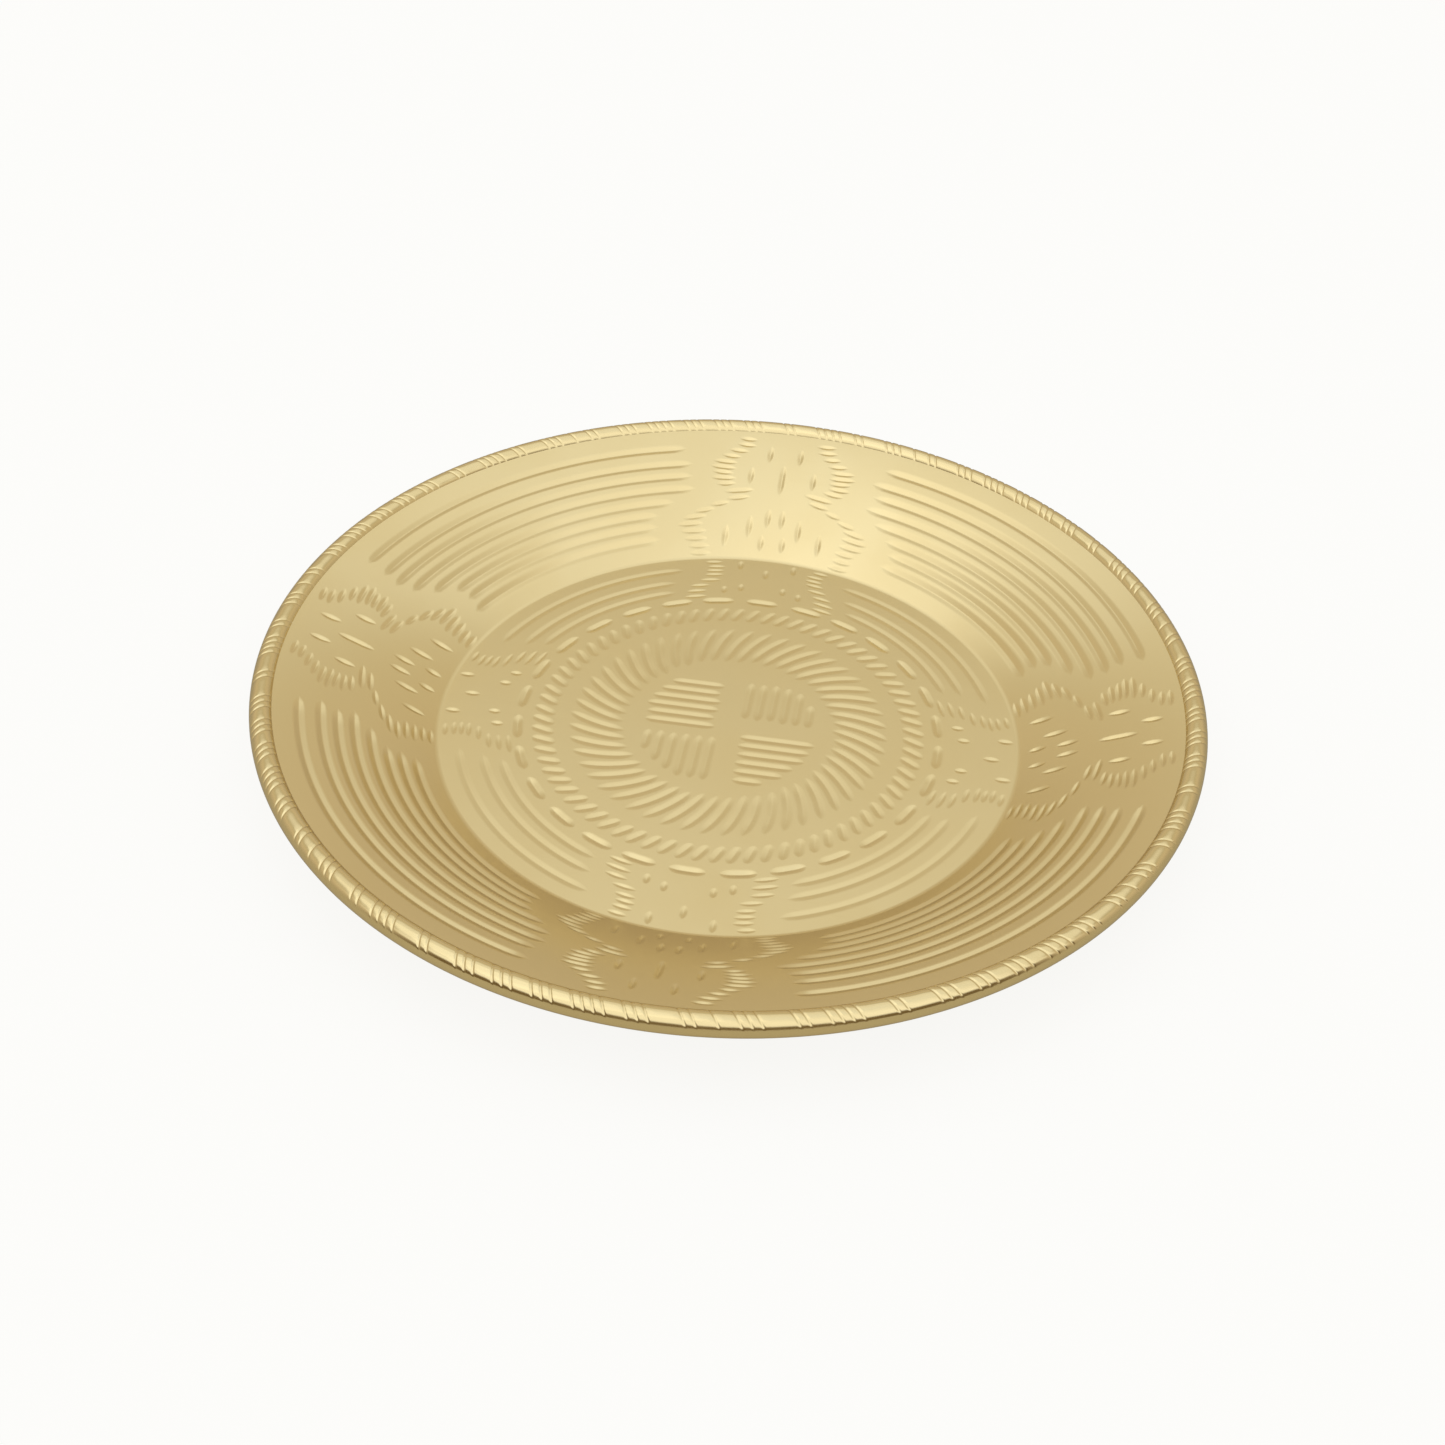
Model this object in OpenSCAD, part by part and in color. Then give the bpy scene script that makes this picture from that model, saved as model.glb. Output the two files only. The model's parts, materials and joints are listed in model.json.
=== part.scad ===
// Paten: a shallow round plate of pressed and gilded sheet brass. Its edge is
// held in a round bead that is closed over a core wire.
// Origin at the centre of the underside, +Z up, arms of the cross along X and Y.

/* [Plate] */
// Diameter over the edge bead
plate_d = 150; // [142:1:165]
// Height from the table to the top of the bead
plate_h = 13.7; // [12.5:0.1:15]
// Thickness of the pressed sheet
sheet_t = 0.8; // [0.6:0.1:1]

/* [Well] */
// Diameter of the flat floor
floor_d = 94.2; // [84:0.2:102]
// Slope of the flange where it leaves the floor, in degrees
flange_slope = 33; // [32:1:40]

/* [Edge] */
// Thickness of the bead
bead_d = 3.6; // [3.2:0.1:4.2]
// Diameter of the core wire in the bead
wire_d = 2.6; // [2:0.1:2.8]
// Gap where the two ends of the core wire meet
wire_gap = 0.3; // [0.1:0.1:1]

/* [Chased grooves] */
// Width of a groove
groove_w = 1.9; // [1:0.1:2]
// Depth of a groove
groove_depth = 0.35; // [0.1:0.05:0.4]
// Plain angle on each side of an arm beside the outer grooves, in degrees
arm_clear = 15.3; // [10:0.1:20]

/* [Hidden] */
$fn = 96;

GILT = [0.83, 0.71, 0.44];
BARE_BRASS = [0.72, 0.58, 0.33];

floor_r = floor_d / 2;
bead_r = bead_d / 2;
wire_r = wire_d / 2;
// Middle of the bead's section
bead_x = plate_d / 2 - bead_r;
bead_z = plate_h - bead_r;

// The flange's upper face is one arc. It leaves the crease at flange_slope and
// ends over the middle of the bead, a little way up from its centre.
arc_rise = bead_z + 0.35 * bead_d - sheet_t;
arc_run = bead_x - floor_r;
chord_angle = atan2(arc_rise, arc_run);
arc_r = norm([arc_run, arc_rise]) / (2 * sin(flange_slope - chord_angle));
arc_x = floor_r + arc_r * sin(flange_slope);
arc_z = sheet_t - arc_r * cos(flange_slope);

// Where the arc of the underside reaches the table
foot_r = arc_x - sqrt(pow(arc_r - sheet_t, 2) - pow(arc_z, 2));

// Radius of the round tool that cuts a groove of this width and depth
tool_r = (pow(groove_w / 2, 2) + pow(groove_depth, 2)) / (2 * groove_depth);

// Each ring of grooves: how far out it lies between crease and bead, and how
// much more than arm_clear it leaves plain beside an arm
FLANGE_RINGS = [
    [0.137, 7.2], [0.22, 7.2], [0.297, 6], [0.381, 2.9],
    [0.473, 0], [0.568, 0], [0.662, 0], [0.786, 0]
];
FLOOR_RINGS = [[0.791, 8.2], [0.85, 6.2], [0.927, 3.2]];

// Height of the flange's upper face at radius r
function flange_z(r) = arc_z + sqrt(pow(arc_r, 2) - pow(r - arc_x, 2));

// Angle that the flange's upper face makes with the level at radius r
function flange_tilt(r) = asin((arc_x - r) / arc_r);

// Section of the flange, between the crease and the core wire
module flange_section() {
    difference() {
        intersection() {
            translate([arc_x, arc_z]) circle(r = arc_r, $fn = 720);
            polygon([[floor_r, sheet_t], [foot_r, 0], [bead_x, 0], [bead_x, plate_h], [floor_r, plate_h]]);
        }
        translate([arc_x, arc_z]) circle(r = arc_r - sheet_t, $fn = 720);
        translate([bead_x, bead_z]) circle(r = wire_r);
        polygon([[bead_x, bead_z], [bead_x + bead_d, bead_z], [bead_x + bead_d, plate_h + bead_d],
                 [bead_x, plate_h + bead_d]]);
    }
}

// Section of the floor, out to the crease
module floor_section() {
    polygon([[0, 0], [foot_r, 0], [floor_r, sheet_t], [0, sheet_t]]);
}

// One groove, an arc of the round tool's path, with its bottom groove_depth
// below the point (r, z) of a face that slopes at tilt
module groove(r, z, tilt, span) {
    lift = tool_r - groove_depth;
    rotate([0, 0, -span / 2])
        rotate_extrude(angle = span)
            translate([r - lift * sin(tilt), z + lift * cos(tilt)])
                circle(r = tool_r, $fn = 32);
}

// The grooves of one quarter, centred between two arms
module quarter_grooves() {
    for (ring = FLANGE_RINGS) {
        r = floor_r + ring[0] * arc_run;
        groove(r, flange_z(r), flange_tilt(r), 90 - 2 * (arm_clear + ring[1]));
    }
    for (ring = FLOOR_RINGS)
        groove(ring[0] * floor_r, sheet_t, 0, 90 - 2 * (arm_clear + ring[1]));
}

module dish() {
    color(GILT) difference() {
        rotate_extrude() {
            floor_section();
            flange_section();
        }
        for (turn = [45:90:315]) rotate([0, 0, turn]) quarter_grooves();
    }
}

// Tube of the bead, open along the slot that the dish's edge fills
module rim_bead() {
    color(GILT) rotate_extrude() difference() {
        translate([bead_x, bead_z]) circle(r = bead_r);
        translate([bead_x, bead_z]) circle(r = wire_r);
        flange_section();
    }
}

module rim_wire() {
    color(BARE_BRASS) rotate([0, 0, 180])
        rotate_extrude(angle = 360 - wire_gap / bead_x * 180 / PI)
            translate([bead_x, bead_z]) circle(r = wire_r);
}

dish();
rim_bead();
rim_wire();
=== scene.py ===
"""Paten: a shallow round plate of gilded sheet brass with a chased cross.

Written as an add-on and run as a script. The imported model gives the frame, in
metres: +Z up, the origin under the middle of the plate, the arms of the cross
along X and Y. Lengths marked as shares are shares of the plate's radius.
"""

import json
import math
import random

import bpy
import numpy as np
from bpy.props import FloatProperty, FloatVectorProperty, IntProperty, PointerProperty
from mathutils import Matrix, Vector
from mathutils.geometry import delaunay_2d_cdt


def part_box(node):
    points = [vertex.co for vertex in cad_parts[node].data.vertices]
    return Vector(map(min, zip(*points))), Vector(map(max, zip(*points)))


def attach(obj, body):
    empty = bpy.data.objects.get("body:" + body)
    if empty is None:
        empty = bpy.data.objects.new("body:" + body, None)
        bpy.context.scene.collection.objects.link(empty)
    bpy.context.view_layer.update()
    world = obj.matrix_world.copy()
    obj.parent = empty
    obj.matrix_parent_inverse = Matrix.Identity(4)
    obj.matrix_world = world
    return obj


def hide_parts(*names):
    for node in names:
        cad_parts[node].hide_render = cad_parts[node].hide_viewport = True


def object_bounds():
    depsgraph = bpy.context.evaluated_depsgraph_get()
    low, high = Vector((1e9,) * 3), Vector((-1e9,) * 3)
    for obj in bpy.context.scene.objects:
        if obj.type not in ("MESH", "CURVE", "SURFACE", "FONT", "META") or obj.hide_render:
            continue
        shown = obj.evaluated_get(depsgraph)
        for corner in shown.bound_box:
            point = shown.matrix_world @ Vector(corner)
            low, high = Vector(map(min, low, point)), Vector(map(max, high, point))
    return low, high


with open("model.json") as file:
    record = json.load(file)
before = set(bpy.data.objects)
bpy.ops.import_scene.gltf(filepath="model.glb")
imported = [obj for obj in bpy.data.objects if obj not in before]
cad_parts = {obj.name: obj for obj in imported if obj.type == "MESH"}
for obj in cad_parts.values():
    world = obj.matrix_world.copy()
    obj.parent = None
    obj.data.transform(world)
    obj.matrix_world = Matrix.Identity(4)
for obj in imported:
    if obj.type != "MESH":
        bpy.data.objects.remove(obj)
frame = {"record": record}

bl_info = {
    "name": "Paten plate",
    "version": (1, 0, 0),
    "blender": (4, 5, 0),
    "location": "View3D > Sidebar > Paten",
    "description": "Builds a gilded paten with a chased cross, and its studio",
    "category": "Object",
}

CAD_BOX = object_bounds()

# ---------------------------------------------------------------------------
# Sizes taken from the frame
# ---------------------------------------------------------------------------

BEAD_LOW, BEAD_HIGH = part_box("rim_bead")
WIRE_LOW, WIRE_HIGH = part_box("rim_wire")
PLATE_R = min(BEAD_HIGH.x, BEAD_HIGH.y, -BEAD_LOW.x, -BEAD_LOW.y)
PLATE_H = BEAD_HIGH.z
BEAD_R = (BEAD_HIGH.z - BEAD_LOW.z) / 2
WIRE_R = (WIRE_HIGH.z - WIRE_LOW.z) / 2
MOUNTS = {m["name"]: m for m in frame["record"]["mounts"]}
SHEET_T = MOUNTS["well_floor"]["pos_m"][2] - MOUNTS["base"]["pos_m"][2]

# ---------------------------------------------------------------------------
# The chased pattern, as its maker would lay it out: shares of the plate's
# radius, and degrees
# ---------------------------------------------------------------------------

# The four arms of the cross lie at these angles, each with a quarter after it
ARM_TURNS = (0, 90, 180, 270)

# Grooves of a quarter: distance from the centre, plain angle beside an arm
FLANGE_GROOVES = (
    (0.6755, 22.5), (0.7045, 22.5), (0.7315, 21.3), (0.7605, 18.2),
    (0.7925, 15.3), (0.8255, 15.3), (0.8585, 15.3), (0.9015, 15.3),
)
FLOOR_GROOVES = ((0.497, 23.5), (0.534, 21.5), (0.582, 18.5))

# One side of an arm, from the well outwards: distance of each cross stroke
# out along the arm, its distance from the arm's middle and its length
ARM_OUTLINE = (
    (0.476, 0.151, 0.056), (0.497, 0.152, 0.056), (0.518, 0.148, 0.052), (0.539, 0.129, 0.050),
    (0.560, 0.122, 0.048), (0.576, 0.120, 0.045), (0.592, 0.121, 0.045), (0.611, 0.129, 0.043),
    (0.640, 0.170, 0.052), (0.656, 0.176, 0.056), (0.673, 0.184, 0.058), (0.690, 0.193, 0.062),
    (0.707, 0.203, 0.066), (0.723, 0.196, 0.060), (0.739, 0.176, 0.050), (0.755, 0.141, 0.048),
    (0.771, 0.098, 0.054), (0.789, 0.098, 0.070), (0.806, 0.132, 0.052), (0.821, 0.143, 0.060),
    (0.836, 0.146, 0.060), (0.850, 0.150, 0.068), (0.865, 0.148, 0.066), (0.881, 0.135, 0.050),
    (0.897, 0.116, 0.050), (0.914, 0.102, 0.050), (0.931, 0.098, 0.050),
)
# How far the outer end of such a stroke rises above its inner end, by its
# distance out along the arm
STROKE_RISE = (
    (0.700, 0.000), (0.735, -0.008), (0.790, -0.008), (0.815, 0.000), (0.840, 0.008), (0.931, 0.004),
)

# Strokes along an arm: inner end, outer end, distance from the arm's middle
ARM_DASHES = (
    (0.486, 0.515, 0.088), (0.496, 0.525, 0.050), (0.552, 0.589, 0.000), (0.583, 0.619, 0.064),
    (0.647, 0.684, 0.027), (0.653, 0.705, 0.114), (0.675, 0.729, 0.059), (0.701, 0.748, 0.017),
    (0.784, 0.864, 0.000), (0.806, 0.853, 0.077), (0.867, 0.914, 0.038),
)
# They are this much wider and deeper than the strokes of the outline
ARM_DASH_WIDER = 1.2
ARM_DASH_DEEPER = 1.25

# Rings of strokes in the floor, from the outermost inwards. FIRST is where the
# middle of the first stroke lies and REACH half a dash, both in degrees. ENDS
# are the two ends of a leaning stroke. It turns by LEAN degrees for each unit of
# radius, measured from its PIVOT, and BEND makes a long one curve.
CHAIN_R = 0.456
CHAIN_FIRST = 11.4
CHAIN_REACH = 4.9
ROPE_ENDS = (0.377, 0.426)
ROPE_FIRST = 3.3
ROPE_PIVOT = 0.400
ROPE_LEAN = 75
SWIRL_ENDS = (0.226, 0.346)
SWIRL_FIRST = 2.2
SWIRL_PIVOT = 0.280
SWIRL_LEAN = 95
SWIRL_BEND = 110

# The four hatched blocks round the centre: turn of the block in degrees,
# distance of its first line from the middle, and where its lines start and end
HATCH_BLOCKS = (
    (0, 0.030, 0.030, 0.158), (90, -0.007, 0.030, 0.190),
    (180, 0.028, 0.040, 0.187), (270, 0.032, 0.030, 0.195),
)
# Lines of a block, from one to the next, and the circle that cuts them off
HATCH_LINES = 6
HATCH_PITCH = 0.0278
HATCH_EDGE = 0.200
HATCH_SHORTEST = 0.025

# Width of the cuts in the floor's rings, and how far from its end each kind of
# cut reaches its full width and depth, in metres
WIDTH = {"chain": 0.0021, "rope": 0.0021, "swirl": 0.0022, "hatch": 0.0020}
RUN_OUT = {
    "groove": 0.0035, "stroke": 0.0020, "chain": 0.0018, "rope": 0.0013, "swirl": 0.0027, "hatch": 0.0018,
}

# How far the hand strays: ends of a groove, places of a long dash and of a
# stroke of the inner rings, all in degrees; length of an outline's stroke, as
# factors; ends of a swirl stroke and of a hatched line, as shares
GROOVE_STRAY = 0.8
CHAIN_STRAY = 0.5
RING_STRAY = 0.2
STROKE_LENGTHS = (0.92, 1.08)
END_STRAY = 0.004
HATCH_FALLS_SHORT = 0.006

# Lands of the bead between two notches, in the order that they come in:
# s is short, m is middling and l is long
BEAD_LANDS = "smssmsssmsslsmmsslsmssslslssms"
BEAD_REPEATS = 7
LAND_ANGLE = {"s": 1.1, "m": 2.35, "l": 3.75}
FIRST_NOTCH = 255.75

# Section of a notch: share of its half-width from its middle, share of its depth
NOTCH_SECTION = (
    (-1.0, 0.0), (-0.7, 0.12), (-0.35, 0.7), (-0.12, 1.0),
    (0.12, 1.0), (0.35, 0.7), (0.7, 0.12), (1.0, 0.0),
)
# A notch starts at this height over the bead's middle and is at its full depth
# that much higher, as shares of the bead's radius
NOTCH_STARTS = 0.45
NOTCH_GROWS = 0.3
# Angle over the bead, in radians, at which a leaning notch crosses its own place
NOTCH_PIVOT = 1.13

# ---------------------------------------------------------------------------
# How finely the meshes are made, in metres where not counts
# ---------------------------------------------------------------------------

# Plain points of the dish: how far apart their rings lie on floor and flange,
# how many go round the flange, how clear they stay of a cut, of the crease on
# either side and of the rim, and how many points the rim has
FLOOR_MESH = 0.0018
FLANGE_MESH = 0.0013
FLANGE_COUNT = 240
CUT_MARGIN = 0.0006
FLOOR_MARGIN = 0.0010
CREASE_MARGIN = 0.0012
RIM_MARGIN = 0.0008
RIM_COUNT = 360
# Cuts: step along a groove, and number of points along each kind of stroke
GROOVE_STEP = 0.0013
STROKE_POINTS = {"stroke": 9, "chain": 13, "rope": 9, "swirl": 15, "hatch": 15}
# Edges along the crease, as shares of its half-width from its middle
CREASE_LINES = (-1, -0.33, 0.33, 1)
# Underside: first ring and number of rings of the flat foot, half the width of
# its bend, number of rings of the wall
FOOT_INNER = 0.004
FOOT_RINGS = 10
FOOT_BEND = 0.0004
WALL_RINGS = 14
# Bead: points over its outside and its bore, and length of a land's facets in degrees
BEAD_POINTS = 37
BORE_POINTS = 17
LAND_STEP = 1.2
# Wire: points round the ring and round its section
WIRE_AROUND = 240
WIRE_ACROSS = 20
# Edges of the bead and the wire that turn more than this stay crisp
SHARP_TURN = math.radians(50)
# A triangle this far down is in a cut, and a point this close to the rim is on it
TOUCH = 1e-7
# Keeps a division by a radius or a width from one by nothing
EPSILON = 1e-9


class PatenSizes(bpy.types.PropertyGroup):
    """Sizes of the plate's sheet and edge."""

    floor_r: FloatProperty(
        name="Floor radius", description="Radius of the flat floor",
        default=0.0471, unit="LENGTH")
    flange_slope: FloatProperty(
        name="Flange slope", description="Slope of the flange where it leaves the floor",
        default=math.radians(33), subtype="ANGLE")
    bead_lift: FloatProperty(
        name="Bead lift", description="Height at which the flange meets the bead over its middle",
        default=0.7 * BEAD_R, unit="LENGTH")
    crease: FloatProperty(
        name="Crease", description="Half the width of the bend between floor and flange",
        default=0.0004, unit="LENGTH")
    notch_depth: FloatProperty(
        name="Notch depth", description="Depth of a notch in the bead",
        default=0.00011, unit="LENGTH")
    notch_width: FloatProperty(
        name="Notch width", description="Width of a notch in the bead",
        default=0.00075, unit="LENGTH")
    notch_lean: FloatProperty(
        name="Notch lean", description="Degrees that a notch runs on by for each radian over the bead",
        default=0.63)
    wire_gap: FloatProperty(
        name="Wire gap", description="Gap between the two ends of the core wire",
        default=0.0003, unit="LENGTH")


class PatenChasing(bpy.types.PropertyGroup):
    """Sizes of the cuts of the chased pattern."""

    groove_width: FloatProperty(
        name="Groove width", description="Width of a long groove",
        default=0.0021, unit="LENGTH")
    groove_depth: FloatProperty(
        name="Groove depth", description="Depth of a long groove in the flange",
        default=0.00036, unit="LENGTH")
    floor_depth: FloatProperty(
        name="Floor groove depth", description="Depth of a long groove in the floor",
        default=0.00011, unit="LENGTH")
    stroke_width: FloatProperty(
        name="Stroke width", description="Width of a short stroke in an arm's outline",
        default=0.00125, unit="LENGTH")
    stroke_depth: FloatProperty(
        name="Stroke depth", description="Depth of a short stroke in the flange",
        default=0.00026, unit="LENGTH")
    floor_stroke_depth: FloatProperty(
        name="Floor stroke depth", description="Depth of a stroke in the floor",
        default=0.00014, unit="LENGTH")
    dash_depth: FloatProperty(
        name="Dash depth", description="Depth of a long dash of the chain ring",
        default=0.00025, unit="LENGTH")
    chain_dashes: IntProperty(
        name="Chain dashes", description="Long dashes in the outer ring of the floor", default=28)
    rope_strokes: IntProperty(
        name="Rope strokes", description="Slanting strokes in the roped ring", default=74)
    swirl_strokes: IntProperty(
        name="Swirl strokes", description="Strokes of the swirl", default=50)
    hand_shake: FloatProperty(
        name="Unevenness", description="How far a hand-cut stroke strays, as a share",
        default=0.0012)
    seed: IntProperty(name="Seed", description="Start of the random draws", default=7)


class PatenFinish(bpy.types.PropertyGroup):
    """Colours and finish of the metal."""

    gilt: FloatVectorProperty(
        name="Gilt", description="Colour of the gilding", subtype="COLOR",
        default=(0.90, 0.765, 0.44), min=0, max=1)
    gilt_deep: FloatVectorProperty(
        name="Deep gilt", description="Colour of the gilding where it is rubbed or dull",
        subtype="COLOR", default=(0.85, 0.70, 0.37), min=0, max=1)
    brass: FloatVectorProperty(
        name="Brass", description="Colour of the bare core wire", subtype="COLOR",
        default=(0.72, 0.55, 0.28), min=0, max=1)
    rim_tint: FloatVectorProperty(
        name="Grazing tint", description="Share of the light that the metal throws back at a grazing angle",
        subtype="COLOR", default=(0.76, 0.77, 0.86), min=0, max=1)
    satin: FloatProperty(
        name="Satin", description="Roughness of the sheet", default=0.29, min=0, max=1)
    cut: FloatProperty(
        name="Cut", description="Roughness inside a cut", default=0.28, min=0, max=1)
    burnish: FloatProperty(
        name="Burnish", description="Roughness of the bead", default=0.15, min=0, max=1)


class PatenStage(bpy.types.PropertyGroup):
    """The camera, the table and the light round the plate."""

    azimuth: FloatProperty(
        name="Azimuth", description="Turn of the camera round the plate",
        default=math.radians(7.25), subtype="ANGLE")
    elevation: FloatProperty(
        name="Elevation", description="Height of the camera above the level",
        default=math.radians(40.26), subtype="ANGLE")
    roll: FloatProperty(
        name="Roll", description="Turn of the camera about its own axis",
        default=math.radians(2.567), subtype="ANGLE")
    distance: FloatProperty(
        name="Distance", description="From the camera to the middle of the floor",
        default=4.194 * PLATE_R, unit="LENGTH")
    lens: FloatProperty(
        name="Lens", description="Focal length in millimetres on a 36 mm sensor", default=48.12)
    shift_x: FloatProperty(name="Shift X", description="Sideways shift of the lens", default=-0.0041)
    shift_y: FloatProperty(name="Shift Y", description="Upward shift of the lens", default=0.0025)
    table: FloatVectorProperty(
        name="Table", description="Colour of the table", subtype="COLOR",
        default=(0.12, 0.12, 0.12), min=0, max=1)
    table_glow: FloatVectorProperty(
        name="Table glow", description="Light that the lit table gives off", subtype="COLOR",
        default=(0.88, 0.88, 0.868), min=0, max=1)
    # Painted reflection: the colour that glossy rays see on the table in place of its glow, darker than the
    # lit table
    painted_table_reflection: FloatVectorProperty(
        name="Table card", description="Colour of the table as the metal mirrors it",
        subtype="COLOR", default=(0.36, 0.31, 0.21), min=0, max=1)
    backdrop: FloatVectorProperty(
        name="Backdrop", description="Colour behind the table", subtype="COLOR",
        default=(0.983, 0.983, 0.967), min=0, max=1)


# ---------------------------------------------------------------------------
# The sheet's shape
# ---------------------------------------------------------------------------


class SheetShape:
    """Heights and slopes of the dish's upper face at any radius."""

    def __init__(self, sizes):
        self.floor_r = sizes.floor_r
        self.crease = sizes.crease
        self.bead_x = PLATE_R - BEAD_R
        self.bead_z = PLATE_H - BEAD_R
        rise = self.bead_z + sizes.bead_lift - SHEET_T
        run = self.bead_x - self.floor_r
        turn = sizes.flange_slope - math.atan2(rise, run)
        self.slope = sizes.flange_slope
        self.arc_r = math.hypot(run, rise) / (2 * math.sin(turn))
        self.arc_x = self.floor_r + self.arc_r * math.sin(self.slope)
        self.arc_z = SHEET_T - self.arc_r * math.cos(self.slope)

    def arc(self, r, inset=0.0):
        """Height and gradient of the flange's arc, or of an arc inset below it."""
        root = np.sqrt((self.arc_r - inset) ** 2 - (r - self.arc_x) ** 2)
        return self.arc_z + root, (self.arc_x - r) / root

    def top(self, r):
        """Height and gradient of the upper face at the radii r."""
        r = np.asarray(r, float)
        z, grad = self.arc(np.maximum(r, self.floor_r))
        start = self.floor_r - self.crease
        end = self.floor_r + self.crease
        end_z, end_grad = self.arc(np.float64(end))
        # The bend is a cubic that leaves the floor level and joins the arc's slope
        t = np.clip((r - start) / (end - start), 0, 1)
        width = end - start
        rise = end_z - SHEET_T
        a = 3 * rise - end_grad * width
        b = end_grad * width - 2 * rise
        bend = SHEET_T + a * t**2 + b * t**3
        bend_grad = (2 * a * t + 3 * b * t**2) / width
        z = np.where(r <= start, SHEET_T, np.where(r < end, bend, z))
        grad = np.where(r <= start, 0.0, np.where(r < end, bend_grad, grad))
        return z, grad

    def foot_r(self):
        """Radius at which the underside leaves the table."""
        inner = self.arc_r - SHEET_T
        return self.arc_x - math.sqrt(inner**2 - self.arc_z**2)

    def bottom(self, r):
        """Height and gradient of the underside at the radii r."""
        r = np.asarray(r, float)
        z, grad = self.arc(np.maximum(r, self.foot_r()), SHEET_T)
        flat = r <= self.foot_r()
        return np.where(flat, 0.0, z), np.where(flat, 0.0, grad)

    def meets_bead(self, radius):
        """Radii at which the two faces of the sheet cross a circle about the bead's middle."""
        found = []
        for inset in (0.0, SHEET_T):
            r = np.linspace(self.bead_x - radius, self.bead_x, 4001)
            z, _ = self.arc(r, inset)
            gap = np.hypot(r - self.bead_x, z - self.bead_z) - radius
            found.append(float(r[np.argmax(gap < 0)]))
        return found


# ---------------------------------------------------------------------------
# Cuts: each is a middle line in plan with a half-width and a depth along it
# ---------------------------------------------------------------------------


class Cut:
    """One stroke or groove, with straight flanks and soft shoulders, run out at both ends."""

    # Share of the half-width over which the flank is straight
    STRAIGHT = 0.6
    # Where the rows of points lie across the cut, from lip to lip
    ACROSS = (-1.0, -0.8, -0.6, -0.13, 0.13, 0.6, 0.8, 1.0)

    def __init__(self, line, width, depth, run_out):
        self.line = np.asarray(line, float)
        step = np.linalg.norm(np.diff(self.line, axis=0), axis=1)
        along = np.concatenate([[0.0], np.cumsum(step)])
        to_end = np.minimum(along, along[-1] - along)
        lead = np.clip(to_end / min(run_out, 0.5 * along[-1]), 0, 1)
        # In plan the ends are round; the depth comes on later and then levels off
        self.half = 0.5 * width * np.sqrt(np.clip(1 - (1 - lead) ** 2, 0, 1))
        self.depth = depth * lead**1.5 * (2.5 - 1.5 * lead)
        tangent = np.gradient(self.line, axis=0)
        tangent /= np.linalg.norm(tangent, axis=1)[:, None]
        self.normal = np.stack([-tangent[:, 1], tangent[:, 0]], axis=1)

    def rows(self):
        """Rows of points along the cut, from one lip to the other; the ends close to a point."""
        return [self.line + self.normal * (self.half * s)[:, None] for s in self.ACROSS]

    def box(self):
        """Lowest and highest corner of the cut in plan."""
        reach = self.half.max()
        return self.line.min(0) - reach, self.line.max(0) + reach

    def depth_at(self, points):
        """Depth of this cut below the sheet at points in plan."""
        a, b = self.line[:-1], self.line[1:]
        ab = b - a
        rel = points[:, None, :] - a[None]
        t = np.clip((rel * ab).sum(2) / (ab * ab).sum(1), 0, 1)
        gap = np.linalg.norm(rel - t[..., None] * ab, axis=2)
        near = gap.argmin(1)
        pick = np.arange(len(points))
        t, gap = t[pick, near], gap[pick, near]
        half = self.half[near] * (1 - t) + self.half[near + 1] * t
        depth = self.depth[near] * (1 - t) + self.depth[near + 1] * t
        across = np.minimum(gap / np.maximum(half, EPSILON), 1)
        # The flank is straight from the middle line outwards, then a soft shoulder
        soft = 1 - self.STRAIGHT
        bend = np.maximum(across - self.STRAIGHT, 0) / soft
        fall = np.minimum(across, self.STRAIGHT) + soft * (bend - bend**2 / 2)
        return depth * (1 - fall / (1 - soft / 2))


def polar(r, degrees):
    """Points in plan at a distance r from the centre and an angle round it."""
    angle = np.radians(degrees)
    return np.stack([r * np.cos(angle), r * np.sin(angle)], axis=-1)


def spread(start, end, count):
    """Points from start to end, closer together at both ends."""
    t = 0.5 - 0.5 * np.cos(np.linspace(0, math.pi, count))
    return start + (end - start) * t


def stray(wobble, reach):
    """How far the hand is off this time, at most reach to either side."""
    return wobble.uniform(-reach, reach)


def groove_cuts(rings, depth, chasing, wobble):
    """Long grooves of the four quarters."""
    cuts = []
    for turn in ARM_TURNS:
        for share, clear in rings:
            start = turn + clear + stray(wobble, GROOVE_STRAY)
            end = turn + 90 - clear + stray(wobble, GROOVE_STRAY)
            length = math.radians(end - start) * share * PLATE_R
            angles = np.linspace(start, end, max(9, round(length / GROOVE_STEP)))
            line = polar(share * PLATE_R, angles)
            cuts.append(Cut(line, chasing.groove_width, depth, RUN_OUT["groove"]))
    return cuts


def arm_point(turn, out, aside):
    """Point on an arm: out along it, aside measured round the circle."""
    return polar(out * PLATE_R, turn + np.degrees(aside / out))


def stroke_depth_at(r, sizes, chasing):
    """Strokes in the flange are cut deeper than those in the floor."""
    return chasing.stroke_depth if r > sizes.floor_r else chasing.floor_stroke_depth


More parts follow.
